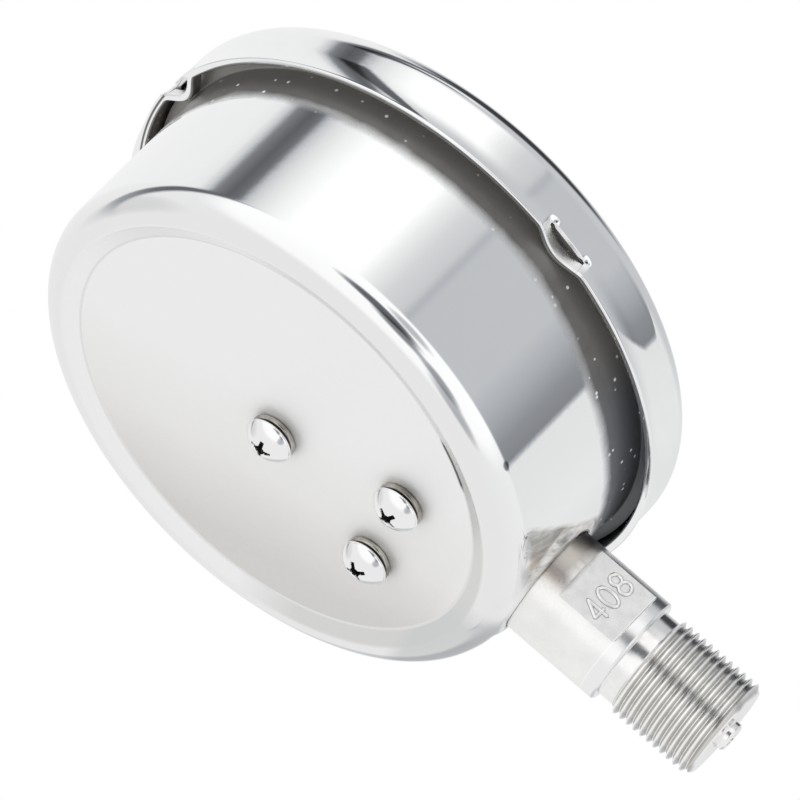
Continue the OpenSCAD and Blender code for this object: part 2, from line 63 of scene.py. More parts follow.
SKIRT_R = 55.0
SKIRT_INNER_R = 54.0
SKIRT_FROM_R = 53.0
REAR_EDGE = 34.4
TONGUE_ANGLES = [20.0, 102.0, 201.0, 300.0]
SLIT_HALF = 4.75  # degrees
SLIT_LOW, SLIT_HIGH = 36.75, 37.15

BAR_R = 10.55
FLAT_X = 8.5
THREAD_R, THREAD_ROOT_R = 10.0, 9.08
THREAD_TOP, THREAD_LOW = -0.35, -18.4

TUBE_R = 34.0
DIAL_FACE = 33.8


# Shaping helpers


def to_row(x, y, depth):
    """Row-frame points of dial-frame coordinates."""
    x, y, depth = np.broadcast_arrays(x, y, depth)
    return np.stack([x, STEM_DEPTH - depth, DIAL_Z + y], axis=-1)


def to_stem(x, y, z):
    """Row-frame points whose x and y are measured from the stem's axis."""
    return np.stack(np.broadcast_arrays(x, y, z), axis=-1)


def full_turn(count):
    """Evenly spaced angles round a circle, in radians."""
    return np.linspace(0, 2 * math.pi, count, endpoint=False)


def polar(radius, angles, depth, place=to_row):
    """Points at the given radii, angles in radians and depths."""
    return place(radius * np.cos(angles), radius * np.sin(angles), depth + 0 * angles)


def turned(profile, angles, place=to_row):
    """Points of a profile of (radius, depth) at each of the angles, in radians."""
    profile = np.array(profile, float)
    return polar(profile[:, 0:1], angles, profile[:, 1:2], place)


def arc(cx, cy, radius, start, end, count):
    """Points of an arc from angle start to angle end, in degrees."""
    a = np.radians(np.linspace(start, end, count + 1))
    return [(cx + radius * math.cos(t), cy + radius * math.sin(t)) for t in a]


def rounded(corners, steps=5, closed=False):
    """A polyline whose corners (x, y, radius) are rounded."""
    out = []
    n = len(corners)
    for i, (x, y, radius) in enumerate(corners):
        p = np.array([x, y], float)
        if radius <= 0 or (not closed and i in (0, n - 1)):
            out.append(tuple(p))
            continue
        a = np.array(corners[i - 1][:2], float) - p
        b = np.array(corners[(i + 1) % n][:2], float) - p
        la, lb = np.linalg.norm(a), np.linalg.norm(b)
        a, b = a / la, b / lb
        angle = math.acos(max(-1.0, min(1.0, float(a @ b))))
        reach = min(radius / math.tan(angle / 2), 0.49 * la, 0.49 * lb)
        r = reach * math.tan(angle / 2)
        centre = p + (a + b) / np.linalg.norm(a + b) * (r / math.sin(angle / 2))
        s, e = p + a * reach - centre, p + b * reach - centre
        sweep = math.pi - angle
        cross = s[0] * e[1] - s[1] * e[0]
        for k in range(steps + 1):
            t = math.copysign(sweep * k / steps, cross)
            c, d = math.cos(t), math.sin(t)
            out.append(tuple(centre + np.array([s[0] * c - s[1] * d, s[0] * d + s[1] * c])))
    return out


def smoothstep(low, high, x):
    """A soft step from 0 at low to 1 at high."""
    t = np.clip((np.asarray(x, float) - low) / (high - low), 0, 1)
    return t * t * (3 - 2 * t)


def grid_faces(rows, cols, wrap_rows=False, wrap_cols=False):
    """Quads of a grid of points stored row by row."""
    faces = []
    for i in range(rows if wrap_rows else rows - 1):
        for j in range(cols if wrap_cols else cols - 1):
            below, ahead = (i + 1) % rows, (j + 1) % cols
            quad = (i * cols + j, i * cols + ahead, below * cols + ahead, below * cols + j)
            faces.append(quad)
    return faces


class Shape:
    """Points and faces, gathered for one mesh."""

    def __init__(self):
        self.points = np.zeros((0, 3))
        self.faces = []

    def add(self, points, faces):
        """More points, and faces that count from the first of them."""
        first = len(self.points)
        self.points = np.vstack([self.points, np.asarray(points, float).reshape(-1, 3)])
        self.faces += [tuple(first + i for i in f) for f in faces]

    def grid(self, points, wrap_rows=False, wrap_cols=False):
        """A sheet of points in rows and columns."""
        self.add(points, grid_faces(*points.shape[:2], wrap_rows, wrap_cols))

    def sweep(self, profile, start, end, count, place=to_row):
        """A closed profile turned from one angle to another, in degrees, with closed ends."""
        pts = turned(profile, np.radians(np.linspace(start, end, count + 1)), place)
        rows, cols = pts.shape[:2]
        faces = grid_faces(rows, cols, wrap_rows=True)
        faces.append(tuple(i * cols for i in range(rows)))
        faces.append(tuple(i * cols + cols - 1 for i in reversed(range(rows))))
        self.add(pts, faces)

    def prism(self, outline, low, high):
        """A flat outline extruded in depth from low to high."""
        x, y = np.array(outline, float).T
        n = len(x)
        faces = [(i, (i + 1) % n, n + (i + 1) % n, n + i) for i in range(n)]
        faces += [tuple(reversed(range(n))), tuple(range(n, 2 * n))]
        self.add(np.vstack([to_row(x, y, low), to_row(x, y, high)]), faces)


def link_to_scene(name, data):
    """A new object that shows the data."""
    made = bpy.data.objects.new(name, data)
    bpy.context.scene.collection.objects.link(made)
    return made


def mesh_object(name, points, faces):
    """A new mesh object from points in millimetres."""
    mesh = bpy.data.meshes.new(name)
    mesh.from_pydata((np.asarray(points, float) * MM).tolist(), [], faces)
    mesh.update()
    return link_to_scene(name, mesh)


def shade_smooth(mesh, sharp):
    """Shades the mesh smooth, apart from edges that turn by more than sharp degrees."""
    mesh.polygons.foreach_set("use_smooth", [True] * len(mesh.polygons))
    mesh.set_sharp_from_angle(angle=math.radians(sharp))


def put(name, shape, look, body, sharp=SHARP):
    """Makes a piece with its faces turned outward, which rides on a body if one is given."""
    piece = mesh_object(name, shape.points, shape.faces)
    work = bmesh.new()
    work.from_mesh(piece.data)
    bmesh.ops.remove_doubles(work, verts=work.verts, dist=1e-7)
    bmesh.ops.recalc_face_normals(work, faces=work.faces)
    work.to_mesh(piece.data)
    work.free()
    shade_smooth(piece.data, sharp)
    piece.data.materials.append(LOOKS[look])
    if body:
        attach(piece, body)
    return piece


def carve(piece, tool):
    """Cuts the tool mesh out of the piece and throws the tool away."""
    cut = piece.modifiers.new("cut", "BOOLEAN")
    cut.operation = "DIFFERENCE"
    cut.solver = "EXACT"
    cut.object = tool
    bpy.context.view_layer.update()
    graph = bpy.context.evaluated_depsgraph_get()
    result = bpy.data.meshes.new_from_object(piece.evaluated_get(graph))
    piece.modifiers.clear()
    piece.data = result
    bpy.data.objects.remove(tool)
    shade_smooth(piece.data, SHARP)


def second_look(piece, look, chosen):
    """Gives a second look to the faces that the test chooses."""
    piece.data.materials.append(LOOKS[look])
    for face in piece.data.polygons:
        if chosen(face):
            face.material_index = 1


# Node trees


def rgb(value):
    """A colour of three parts, where a single number stands for a grey."""
    return value if isinstance(value, tuple) else (value,) * 3


class Graph:
    """Shorthand for a node tree."""

    def __init__(self, tree):
        self.tree = tree

    def feed(self, socket, value):
        """Gives an input a number, a colour, a vector or the output of another node."""
        if isinstance(value, bpy.types.NodeSocket):
            self.tree.links.new(value, socket)
        elif socket.type == "RGBA":
            socket.default_value = (*rgb(value), 1.0)
        else:
            socket.default_value = value

    def node(self, kind, inputs=None, **settings):
        """A new shader node, its inputs given by name or by place."""
        made = self.tree.nodes.new("ShaderNode" + kind)
        for key, value in settings.items():
            setattr(made, key, value)
        for key, value in (inputs or {}).items():
            self.feed(made.inputs[key], value)
        return made

    def math(self, operation, a, b=0.0):
        """The result of a sum on one or two values."""
        return self.node("Math", {0: a, 1: b}, operation=operation).outputs[0]

    def product(self, first, *others):
        """The product of two or more values."""
        for other in others:
            first = self.math("MULTIPLY", first, other)
        return first

    def weighted(self, *parts):
        """The sum of values, each times its weight."""
        terms = [self.product(value, weight) for value, weight in parts]
        total = terms[0]
        for term in terms[1:]:
            total = self.math("ADD", total, term)
        return total

    def span(self, source, low, high, to_low=0.0, to_high=1.0, kind="LINEAR"):
        """Maps one range of a value to another."""
        limits = {"From Min": low, "From Max": high, "To Min": to_low, "To Max": to_high}
        made = self.node("MapRange", {"Value": source, **limits}, interpolation_type=kind)
        return made.outputs["Result"]

    def between(self, factor, low, high):
        """A value that goes from low to high with the factor."""
        inputs = {0: factor, 2: low, 3: high}
        return self.node("Mix", inputs, data_type="FLOAT").outputs[0]

    def mix(self, factor, a, b, kind="MIX"):
        """Mixes or multiplies two colours."""
        made = self.node("Mix", {0: factor}, data_type="RGBA", blend_type=kind)
        for socket, value in zip([s for s in made.inputs if s.type == "RGBA"], (a, b)):
            self.feed(socket, value)
        return [s for s in made.outputs if s.type == "RGBA"][0]

    def colours(self, source, *stops):
        """A colour ramp of (position, colour) stops."""
        ramp = self.node("ValToRGB", {"Fac": source})
        elements = ramp.color_ramp.elements
        while len(elements) < len(stops):
            elements.new(0.5)
        for element, (position, colour) in zip(elements, stops):
            element.position = position
            element.color = (*rgb(colour), 1.0)
        return ramp.outputs["Color"]

    def dot(self, source, direction):
        """How far a point or a direction reaches along an axis."""
        unit = Vector(direction).normalized()
        made = self.node("VectorMath", {0: source, 1: unit}, operation="DOT_PRODUCT")
        return made.outputs["Value"]


class Paint(Graph):
    """A new material and its places x, y, z on the object, which are in metres."""

    def __init__(self, name, metallic=0.0):
        self.material = bpy.data.materials.new(name)
        self.material.use_nodes = True
        super().__init__(self.material.node_tree)
        self.shader = self.tree.nodes["Principled BSDF"]
        self.coords = self.node("TexCoord").outputs["Object"]
        self.x, self.y, self.z = self.node("SeparateXYZ", {0: self.coords}).outputs
        self.set("Metallic", metallic)

    def set(self, name, value):
        """Gives an input of the material's shader."""
        self.feed(self.shader.inputs[name], value)

    def noise(self, scale, detail=3.0, stretch=(1, 1, 1), rough=0.5, source=None):
        """A noise of the given scale per metre, stretched along the row axes."""
        place = {"Vector": source or self.coords, "Scale": stretch}
        mapping = self.node("Mapping", place)
        look = {"Vector": mapping.outputs[0], "Scale": scale, "Detail": detail, "Roughness": rough}
        return self.node("TexNoise", look).outputs["Fac"]

    def vary(self, noise, low, high):
        """A value that follows a noise."""
        return self.span(noise, 0.3, 0.7, low, high)

    def tones(self, noise, dark, light):
        """A colour that follows a noise."""
        return self.colours(noise, (0.3, dark), (0.7, light))

    def fade(self, source, none, full, most=1.0):
        """A mask: nothing where a place, in millimetres, is at none, and most of it at full."""
        return self.span(source, none * MM, full * MM, 0.0, most)

    def shifted(self, source, amount):
        """A place moved by an amount in millimetres."""
        return self.math("ADD", source, amount * MM)

    def length(self, a, b):
        """Length of the flat vector with the two given parts."""
        return self.math("SQRT", self.math("ADD", self.product(a, a), self.product(b, b)))

    def dial_radius(self):
        """Distance from the dial axis, in metres."""
        return self.length(self.x, self.shifted(self.z, -DIAL_Z))

    def bump(self, height, distance, under=None):
        """A bumpy surface, its height in millimetres."""
        made = self.node("Bump", {"Height": height, "Distance": distance * MM})
        if under is not None:
            self.feed(made.inputs["Normal"], under)
        return made.outputs["Normal"]

    def grain(self, fine, rough, depth):
        """Gloss within the range of rough, and a surface, that follow a fine noise."""
        self.set("Roughness", self.vary(fine, *rough))
        self.set("Normal", self.bump(fine, depth))

    def layers(self, tone, *layers):
        """Lays colours over a tone, each where its mask is 1."""
        for mask, colour in layers:
            tone = self.mix(mask, tone, colour)
        return tone

    def specks(self, scale, size, share):
        """Small round specks: one in each cell, of which only a share is kept."""
        cells = self.node("TexVoronoi", {"Vector": self.coords, "Scale": scale})
        near = self.span(cells.outputs["Distance"], size * 0.6, size, 1.0, 0.0)
        pick = self.node("SeparateColor", {"Color": cells.outputs["Color"]})
        kept = self.span(pick.outputs["Red"], 1 - share, 1.02 - share)
        return self.product(near, kept)


# Materials


def metal(name, light, dark, rough, grain, depth, stretch=(1, 1, 1)):
    """A metal whose tone, gloss and grain vary a little."""
    m = Paint(name, 1.0)
    m.set("Base Color", m.tones(m.noise(60, 4, stretch), dark, light))
    m.grain(m.noise(grain, 4, stretch, 0.6), rough, depth)
    return m.material


def plain(name, light, dark, rough, grain=400, depth=0.02):
    """A non-metal with a slightly uneven tone and surface."""
    m = Paint(name)
    m.set("Base Color", m.tones(m.noise(90, 4), dark, light))
    m.grain(m.noise(grain, 3), rough, depth)
    return m.material


def window_material():
    """Clear flat glass."""
    m = Paint("glass")
    m.set("Transmission Weight", 1.0)
    m.set("IOR", 1.5)
    fine = m.noise(30, 2)
    m.set("Base Color", m.tones(fine, (0.97, 0.985, 0.98), (0.98, 0.99, 0.985)))
    m.set("Roughness", m.vary(fine, 0.0, 0.008))
    return m.material


def add_gap_shade(m, gap, tone, rough):
    """Paints shade into the gap under the ring, with a few specks of dust.

    The painted shade is paler deep in the gap and colder toward the stem.
    """
    # Painted shade: the dark tone laid over the gap under the ring
    gap_shade = m.tones(m.noise(260, 5, rough=0.6), (0.15, 0.145, 0.135), (0.185, 0.18, 0.17))
    gap_shade = m.mix(m.fade(m.y, -16.5, -21.5), gap_shade, (0.31, 0.30, 0.28))
    gap_shade = m.mix(m.fade(m.z, 38, 29, 0.8), gap_shade, (0.125, 0.135, 0.155))
    dust = m.product(m.specks(430, 0.17, 0.60), gap)
    m.set("Base Color", m.mix(dust, m.mix(gap, tone, gap_shade), (0.92, 0.91, 0.89)))
    for name, steel, in_gap, speck in (("Roughness", rough, 0.42, 0.9), ("Metallic", 1.0, 0.40, 0.0)):
        m.set(name, m.between(dust, m.between(gap, steel, in_gap), speck))


def wall_tone(m, cloud, radius, sloping):
    """Bright wall, a quieter rim, and painted shade: grey on the lower side of the rim's slope
    and on the corner toward the stem.
    """
    lower = m.weighted((m.x, 0.3), (m.shifted(m.z, -DIAL_Z), 0.9))
    # Painted shade on the lower side of the rim's slope and on the corner toward the stem
    shaded_low_slope = m.product(m.fade(radius, 45.7, 45.0), m.fade(lower, 7, -5))
    shaded_corner = m.product(m.fade(m.x, -2, 6), m.fade(m.z, 37, 34), m.fade(m.y, 9.5, 10.5))
    return m.layers(
        m.tones(cloud, (0.925, 0.93, 0.935), (0.945, 0.95, 0.955)),
        (m.fade(m.y, 10.8, 14.2), 0.89),
        (sloping, 0.935),
        (shaded_low_slope, (0.74, 0.74, 0.73)),
        (shaded_corner, (0.69, 0.695, 0.70)),
    )


def floor_tone(m, cloud):
    """A satin floor with painted shade that darkens it toward its lower right."""
    # Painted shade: pale at the upper left, darkest at the lower right
    shade_gradient = m.fade(m.weighted((m.x, 0.94), (m.z, -0.34), (cloud, 6 * MM)), -30, 12)
    pale, middle, dull = (0.955, 0.955, 0.953), (0.905, 0.90, 0.89), (0.765, 0.75, 0.735)
    return m.colours(shade_gradient, (0.0, pale), (0.5, middle), (1.0, dull))


def floor_edge(m, radius, behind):
    """Mask and colour of a painted shade line round the floor, wide and black at one spot."""
    # Painted shade: a dark line in the crease round the floor, widening to a black spot at one
    # place
    shade_spot_distance = m.length(m.shifted(m.x, 29.8), m.shifted(m.z, 29.5 - DIAL_Z))
    shade_spot = m.fade(shade_spot_distance, 6.0, 4.2)
    half_width = m.between(shade_spot, 0.34 * MM, 0.60 * MM)
    away = m.math("DIVIDE", m.math("ABSOLUTE", m.shifted(radius, -42.25)), half_width)
    edge = m.product(m.span(away, 0.3, 1.0, 1.0, 0.0), behind)
    return edge, m.mix(shade_spot, (0.82, 0.82, 0.815), 0.07)


def crinkles(m):
    """The folds of the pad beside the stem, which run across the fold axis, and its mask."""
    fold, along, beside = (-0.74, -0.373, 0.555), (0.45, -0.89, 0.0), (0.49, 0.25, 0.83)
    long = 0.28
    parts = {
        place: m.product(m.dot(m.coords, axis), share)
        for place, (axis, share) in enumerate([(fold, 1.0), (along, long), (beside, long)])
    }
    folds = m.noise(900, 2, source=m.node("CombineXYZ", parts).outputs[0])
    aside = m.weighted((m.math("ABSOLUTE", m.x), 0.80), (m.y, -0.60))
    pad = m.product(m.fade(aside, 13.4, 12.4), m.fade(m.z, 29.0, 27.5), m.fade(m.y, 10.0, 8.5))
    return folds, pad


def painted_dark_reflection(m):
    """Mask and colour of a small painted dark reflection on the corner of the case."""
    aside = m.length(m.shifted(m.x, 35.4), m.shifted(m.z, -36.3))
    aside = m.length(aside, m.product(m.shifted(m.y, -10.1), 1.7))
    ragged = m.weighted((aside, 1.0), (m.noise(1400, 2), 0.6 * MM))
    return m.fade(ragged, 1.5, 1.0, 0.85), (0.10, 0.10, 0.12)


def case_gap(m):
    """Where the painted shade on the case wall begins, deeper in the gap at top and bottom."""
    ragged = m.noise(260, 5, rough=0.6)
    low, high = m.fade(m.z, 52, 34), m.fade(m.z, 116, 123)
    place = m.weighted((m.y, 1.0), (ragged, 1.2 * MM), (low, -2.2 * MM), (high, -4.0 * MM))
    return m.fade(place, -13.2, -15.8)


def case_steel():
    """Polished wall and rim, a satin back floor, a dull crinkled seat and painted shade in the gap.

    Painted shade also lies on the lower rim slope, the corner toward the stem, the floor, the
    seat's folds and round the bore, and a painted dark reflection lies on the corner.
    """
    m = Paint("case_steel")
    radius, from_stem = m.dial_radius(), m.length(m.x, m.y)
    behind = m.fade(m.y, 12.5, 12.8)
    floor = m.product(m.fade(radius, 42.4, 41.8), behind)
    sloping = m.product(m.fade(radius, 46.0, 44.8), behind)
    cloud = m.noise(45, 4)
    folds, pad = crinkles(m)
    # Painted shade on the seat, darker and lighter along its folds
    pad_fold_shade = m.colours(folds, (0.35, (0.56, 0.55, 0.52)), (0.65, (0.84, 0.83, 0.81)))
    # Painted shade: a near-black ring round the bore, in the gap between case and stem
    lip = m.product(m.fade(from_stem, 11.18, 11.00), m.fade(m.z, 30.0, 29.0))
    tone = m.layers(
        wall_tone(m, cloud, radius, sloping),
        (floor, floor_tone(m, cloud)),
        floor_edge(m, radius, behind),
        (pad, pad_fold_shade),
        (lip, (0.06, 0.055, 0.05)),
        # a painted dark reflection on the corner
        painted_dark_reflection(m),
    )

    fine = m.noise(900, 3)
    above = m.product(m.fade(from_stem, 19.0, 15.5), m.fade(m.y, 10.0, 11.5), m.fade(m.z, 34, 30))
    slope_only = m.product(sloping, m.math("SUBTRACT", 1.0, floor))
    rough = m.between(floor, m.vary(fine, 0.035, 0.06), m.vary(fine, 0.58, 0.64))
    for mask, value in ((above, 0.26), (slope_only, 0.30), (pad, 0.27)):
        rough = m.between(mask, rough, value)
    # Painted shade over the gap on the case wall, with dust specks
    add_gap_shade(m, case_gap(m), tone, rough)
    m.set("Normal", m.bump(fine, 0.003, under=m.bump(m.product(folds, pad), 0.09)))
    return m.material


def ring_steel():
    """Polished outside, painted shade inside the skirt, and a short dark seam by the edge."""
    m = Paint("ring_steel")
    radius = m.dial_radius()
    in_depth = m.product(m.fade(m.y, -19.5, -19.7), m.fade(m.y, -27.6, -27.2))
    # Painted shade: the dark gap tone covers the inside of the skirt
    inside = m.product(m.fade(radius, 54.2, 54.05), in_depth)
    seam = m.product(
        m.fade(m.math("ABSOLUTE", m.shifted(radius, -54.92)), 0.28, 0.12),
        m.fade(m.z, 115, 121),
        m.fade(m.y, -20.5, -20.2),
        m.fade(m.x, -14, -8),
    )
    polished = m.tones(m.noise(260, 4), (0.92, 0.925, 0.93), (0.94, 0.945, 0.95))
    fine = m.noise(900, 3)
    add_gap_shade(m, inside, m.mix(seam, polished, (0.16, 0.155, 0.15)), m.vary(fine, 0.03, 0.055))
    m.set("Normal", m.bump(fine, 0.003))
    return m.material


def stem_steel():
    """Satin bar, duller on its wrench flats, with a painted highlight on the bevel below them
    and brown painted shade close to the seat.
    """
    m = Paint("stem_steel", 1.0)
    out = m.math("ABSOLUTE", m.x)
    in_height = m.product(m.fade(m.z, 5.55, 5.65), m.fade(m.z, 17.65, 17.55))
    flat = m.product(m.fade(out, 8.70, 8.62), m.fade(out, 8.46, 8.49), in_height)
    numerals = m.product(flat, m.fade(out, 8.52, 8.54), m.fade(m.math("ABSOLUTE", m.y), 6.0, 5.8))
    # Painted highlight: the bevel below the flats is made white
    bevel = m.product(m.fade(m.z, 5.62, 5.58), m.fade(out, 9.20, 9.00), m.fade(m.z, 5.30, 5.34))
    # Painted shade near the seat, in bands from pale peach through brown to near black
    seat_shade_ramp = m.colours(
        m.fade(m.y, 6.6, -9.4),
        (0.00, (0.93, 0.92, 0.90)), (0.10, (0.93, 0.85, 0.78)), (0.20, (0.42, 0.38, 0.36)),
        (0.32, (0.52, 0.49, 0.46)), (0.48, (0.70, 0.66, 0.60)), (0.66, (0.52, 0.48, 0.43)),
        (0.80, (0.22, 0.21, 0.20)),
    )  # fmt: skip
    wavy = m.weighted((m.z, 1.0), (m.noise(300, 3), 2.2 * MM))
    seat_shade_mask = m.product(m.fade(wavy, 18.2, 20.6), m.fade(m.x, -4.0, -6.0))
    tone = m.layers(
        m.tones(m.noise(220, 4), (0.90, 0.895, 0.88), (0.97, 0.965, 0.95)),
        (flat, m.tones(m.noise(500, 4), (0.76, 0.76, 0.755), (0.86, 0.86, 0.855))),
        (numerals, (0.42, 0.42, 0.41)),
        (bevel, 1.0),
        (seat_shade_mask, seat_shade_ramp),
    )
    m.set("Base Color", tone)
    m.grain(m.noise(2500, 4, rough=0.6), (0.26, 0.36), 0.010)
    return m.material


def thread_steel():
    """Polished neck, a duller collar, and thread with painted highlights on its crests and roots
    and painted shade on its flanks.
    """
    m = Paint("thread_steel", 1.0)
    cloud = m.noise(700, 4)
    cut = m.product(m.fade(m.z, -0.3, -0.8), m.fade(m.z, -18.3, -18.1))
    collar = m.fade(m.z, 2.8, 2.9)
    depth = m.weighted((m.length(m.x, m.y), 1.0), (cloud, 0.12 * MM))
    # Painted highlights on crests and roots, painted shade on the flanks between them
    thread_light_and_shade = m.colours(
        m.fade(depth, 9.0, 10.1),
        (0.12, (0.90, 0.895, 0.88)),
        (0.20, (0.63, 0.62, 0.60)),
        (0.72, (0.72, 0.71, 0.69)),
        (0.86, (0.98, 0.975, 0.97)),
    )
    shade = m.colours(m.fade(m.y, -2.0, -7.5), (0.0, 1.0), (1.0, (0.98, 0.99, 1.0)))
    tone = m.mix(cut, m.tones(cloud, (0.90, 0.89, 0.885), (0.96, 0.955, 0.95)), thread_light_and_shade)
    tone = m.mix(cut, tone, shade, "MULTIPLY")
    m.set("Base Color", m.mix(collar, tone, (0.93, 0.925, 0.925)))
    fine = m.noise(1500, 4, rough=0.6)
    rough = m.between(collar, m.vary(fine, 0.14, 0.19), 0.25)
    m.set("Roughness", m.between(cut, rough, m.vary(cloud, 0.16, 0.30)))
    m.set("Normal", m.bump(fine, 0.008))
    return m.material


# Light tone, dark tone, range of roughness, grain per metre and its depth
METALS = {
    "tongue_steel": ((0.98, 0.98, 0.97), (0.90, 0.90, 0.89), (0.34, 0.44), 900, 0.003),
    "screw_steel": (0.95, 0.91, (0.05, 0.09), 1500, 0.003),
    # near-black steel for painted shade in the screw recesses and the groove under the heads
    "recess_shade_steel": ((0.10, 0.09, 0.08), (0.05, 0.045, 0.04), (0.35, 0.5), 1500, 0.005),
    "washer_steel": ((0.66, 0.64, 0.59), (0.20, 0.19, 0.165), (0.08, 0.16), 700, 0.008, (5, 5, 5)),
    "arbor_steel": ((0.78, 0.78, 0.80), (0.68, 0.68, 0.70), (0.16, 0.28), 1500, 0.004),
    "tube_steel": ((0.76, 0.73, 0.68), (0.66, 0.63, 0.58), (0.24, 0.36), 1200, 0.006),
    "spring_alloy": ((0.46, 0.48, 0.56), (0.36, 0.38, 0.46), (0.18, 0.28), 1500, 0.002),
    "brass": ((0.83, 0.66, 0.34), (0.74, 0.57, 0.27), (0.18, 0.30), 1400, 0.005),
}
NON_METALS = {
    "black_rubber": (0.045, 0.025, (0.55, 0.7)),
    "fibre": ((0.62, 0.58, 0.48), (0.52, 0.48, 0.39), (0.7, 0.85)),
    "dial_white": ((0.90, 0.90, 0.88), (0.86, 0.86, 0.84), (0.4, 0.5), 700, 0.003),
    "dial_ink": (0.03, 0.02, (0.45, 0.55), 700, 0.002),
    "black_metal": (0.035, 0.02, (0.35, 0.45), 700, 0.002),
}
LOOKS = {
    "case_steel": case_steel(),
    "ring_steel": ring_steel(),
    "stem_steel": stem_steel(),
    "thread_steel": thread_steel(),
    "glass": window_material(),
    **{name: metal(name, *values) for name, values in METALS.items()},
    **{name: plain(name, *values) for name, values in NON_METALS.items()},
}


# Case


def seat_height(x, y, base):
    """Height of the case's skin where a slightly wavy seat is pressed in round the stem."""
    seat_z, seat_r, climb, bend, soft = 22.3, 12.6, 4.3 / 3.4, 0.22, 0.30
    rho = np.hypot(x, y)
    slope = seat_z + bend * np.log1p(np.exp((rho - seat_r) / bend)) * climb
    wave = (
        np.sin(1.9 * x + 2.6 * y + 1.0)
        + 0.7 * np.sin(3.7 * x - 1.3 * y + 0.4)
        + 0.5 * np.sin(0.8 * x + 4.9 * y)
    )
    band = smoothstep(12.8, 13.8, rho) * (1 - smoothstep(15.6, 17.5, rho))
    slope = slope + 0.08 * wave * band * (1 - smoothstep(8.5, 10.5, y))
    beside = smoothstep(10.4, 12.2, 0.8 * np.abs(x) - 0.6 * y)
    slope = np.where(slope < base, slope + (base - slope) * beside, slope)
    low = np.minimum(base, slope)
    return low - soft * np.log(np.exp(-(base - low) / soft) + np.exp(-(slope - low) / soft))


def build_case():
    """The drawn case: its revolved sheet profile, with the seat pressed in and bored."""
    corner_r = CASE_R - CORNER_R
    outer = rounded([(0.0, 1.4, 0), (42.2, 1.4, 0.5), (45.35, 0.0, 0.5), (corner_r, 0.0, 0)])
    pressed_from = len(outer) - 2
    outer += arc(corner_r, CORNER_R, CORNER_R, -90, 0, 30)[1:]
    depths = np.concatenate([np.arange(5.5, 28.0, 0.3), np.arange(28.0, 36.0, 0.6)])
    outer += [(CASE_R, float(depth)) for depth in depths]
    skin = slice(pressed_from, len(outer))
    flange_r, rear, front = 53.3, 37.8, 38.8
    flange = [(CASE_R, 36.2, 0), (CASE_R, rear, 0.35), (flange_r, rear, 0.1)]
    flange += [(flange_r, front, 0.1), (CASE_R - SHEET, front, 0)]
    inner = [(CASE_R - SHEET, 36.0), (CASE_R - SHEET, CORNER_R)]
    inner += arc(corner_r, CORNER_R, CORNER_R - SHEET, 0, -90, 8)[1:]
    inner += [(45.2, 1.0), (42.4, 2.4), (0.0, 2.4)]
    angles = np.concatenate([np.arange(-63, 245, 1.25), np.arange(245, 297, 0.25)])
    pts = turned(outer + rounded(flange) + inner, np.radians(angles))

    near = pts[skin]
    x, y, z = near[..., 0], near[..., 1], near[..., 2]
    share = np.ones((len(near), 1))
    share[:3, 0] = (0.35, 0.7, 0.9)
    local = (np.hypot(x, y) < 24) & (z < 45)
    near[..., 2] = np.where(local, z + (seat_height(x, y, z) - z) * share, z)
    shape = Shape()
    shape.grid(pts, wrap_cols=True)
    piece = put("case_shell", shape, "case_steel", "gauge")

    bore_r, sides = 10.72, 256
    drill = Shape()
    drill.grid(polar(bore_r, full_turn(sides), np.array([[5.0], [30.0]]), to_stem), wrap_cols=True)
    drill.faces += [tuple(reversed(range(sides))), tuple(range(sides, 2 * sides))]
    carve(piece, mesh_object("drill", drill.points, drill.faces))
    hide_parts("case")


# Ring


def skirt(depth):
    """Outer radius of the ring's wall, which flares toward its rear edge."""
    return SKIRT_R + 0.58 * np.clip((39.2 - depth) / 4.5, 0, 1) ** 2


def ring_profile():
    """Closed outline of the ring wall as (radius, depth), starting at the outer front arc."""
    outer = arc(50.0, 42.6, 5.0, 90, 0, 26)
    outer += [(float(skirt(d)), float(d)) for d in np.arange(42.3, 34.75, -0.25)]
    edge = [(55.57, 34.66), (55.53, 34.54), (55.44, 34.45), (55.32, 34.41), (55.2, REAR_EDGE)]
    edge += [(54.8, REAR_EDGE), (54.45, REAR_EDGE), (54.3, 34.44), (54.15, 34.56)]
    edge += [(SKIRT_INNER_R, 34.8)]
    inner = [(SKIRT_INNER_R, float(d)) for d in np.arange(35.1, 42.3, 0.3)]
    inner += arc(50.0, 42.6, 4.0, 0, 90, 12)
    lip = rounded([(50.0, 46.6, 0), (47.75, 46.6, 0.15), (47.75, 47.6, 0.4), (50.0, 47.6, 0)])
    return np.array(outer + edge + inner + lip[1:-1])


def press_depth(offset):
    """How far the skirt is pressed in at an angle offset, in degrees, from a tongue's middle."""
    t = np.clip(np.abs(offset) / 6.3, 0, 1)
    return 2.72 * (1 - t * t) ** 1.5


